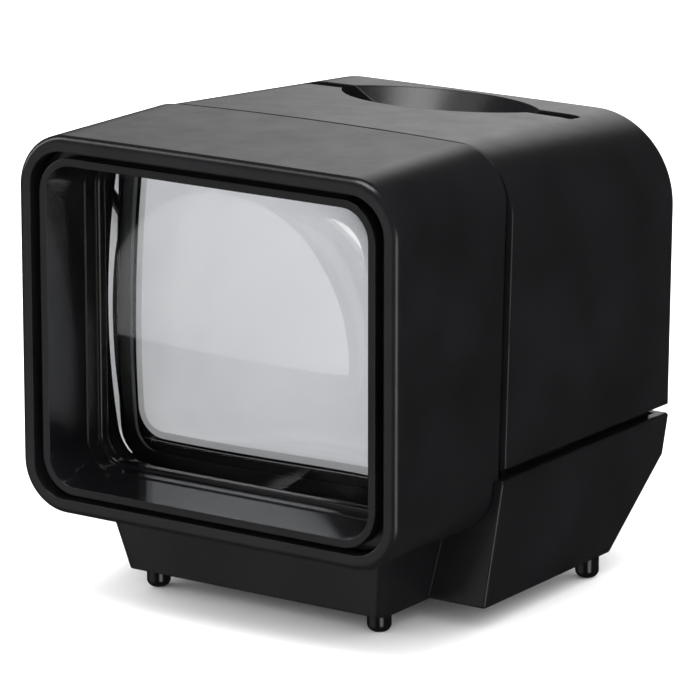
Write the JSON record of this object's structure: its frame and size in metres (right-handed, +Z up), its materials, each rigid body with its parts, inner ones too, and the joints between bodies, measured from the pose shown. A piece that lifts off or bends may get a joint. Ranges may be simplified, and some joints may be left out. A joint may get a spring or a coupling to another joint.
{
  "type": "slide viewer",
  "caption": "Small battery-lit desk viewer for mounted slides, with a square magnifying lens in a deep hood and a slide slit with a finger scoop on top.",
  "frame": {"origin": "on the surface that the viewer stands on, under the middle of its outer box", "axes": "+X to the right seen from the lens side, +Y from the lens to the back, +Z up"},
  "size_m": [0.0736, 0.0772, 0.0749],
  "materials": {
    "black_shell": "fine satin moulded",
    "black_gloss": "polished",
    "black_matte": "matte moulded",
    "lens_acrylic": "clear polished acrylic",
    "opal_plastic": "opal",
    "white_plastic": "matte white",
    "lamp_glass": "clear",
    "brass_parts": "stamped",
    "spring_steel": "nickel plated",
    "screw_steel": "blackened",
    "cell_case": "printed sleeve with no text",
    "foot_gloss": "polished"
  },
  "bodies": {
    "casing": {"front_hood": "black_shell", "upper_housing": "black_shell", "lower_base": "black_shell", "viewing_bezel": "black_gloss", "lens_retainer": "black_matte", "picture_sleeve": "opal_plastic", "slide_guide": "black_matte", "lamp_holder": "black_matte", "battery_deck": "black_matte", "magnifier_lens": "lens_acrylic", "diffuser_screen": "opal_plastic", "light_box": "white_plastic", "lamp_bulb": "lamp_glass", "lamp_cap": "brass_parts", "pressure_springs": "spring_steel", "rest_springs": "spring_steel", "battery_front": "cell_case", "battery_rear": "cell_case", "series_bridge": "spring_steel", "positive_contact": "spring_steel", "negative_contact": "spring_steel", "lamp_strip": "brass_parts", "cell_spring_front": "spring_steel", "cell_spring_rear": "spring_steel", "switch_contact_front": "brass_parts", "switch_contact_rear": "brass_parts", "case_screws": "screw_steel", "foot_front_left": "foot_gloss", "foot_front_right": "foot_gloss", "foot_rear_left": "foot_gloss", "foot_rear_right": "foot_gloss"},
    "slide_rest_body": {"slide_rest": "black_matte", "contact_bridge": "brass_parts"},
    "battery_door_body": {"battery_door": "black_shell"}
  },
  "joints": [
    {"name": "slide_press", "type": "slide", "parent": "casing", "child": "slide_rest_body", "axis": [0, 0, -1], "range_m": [0, 0.0022], "stiffness_N_per_m": 300, "springref_m": -0.001, "deforming": ["rest_springs"]},
    {"name": "battery_door_slide", "type": "slide", "parent": "casing", "child": "battery_door_body", "axis": [0, 1, 0], "range_m": [0, 0.034]}
  ]
}
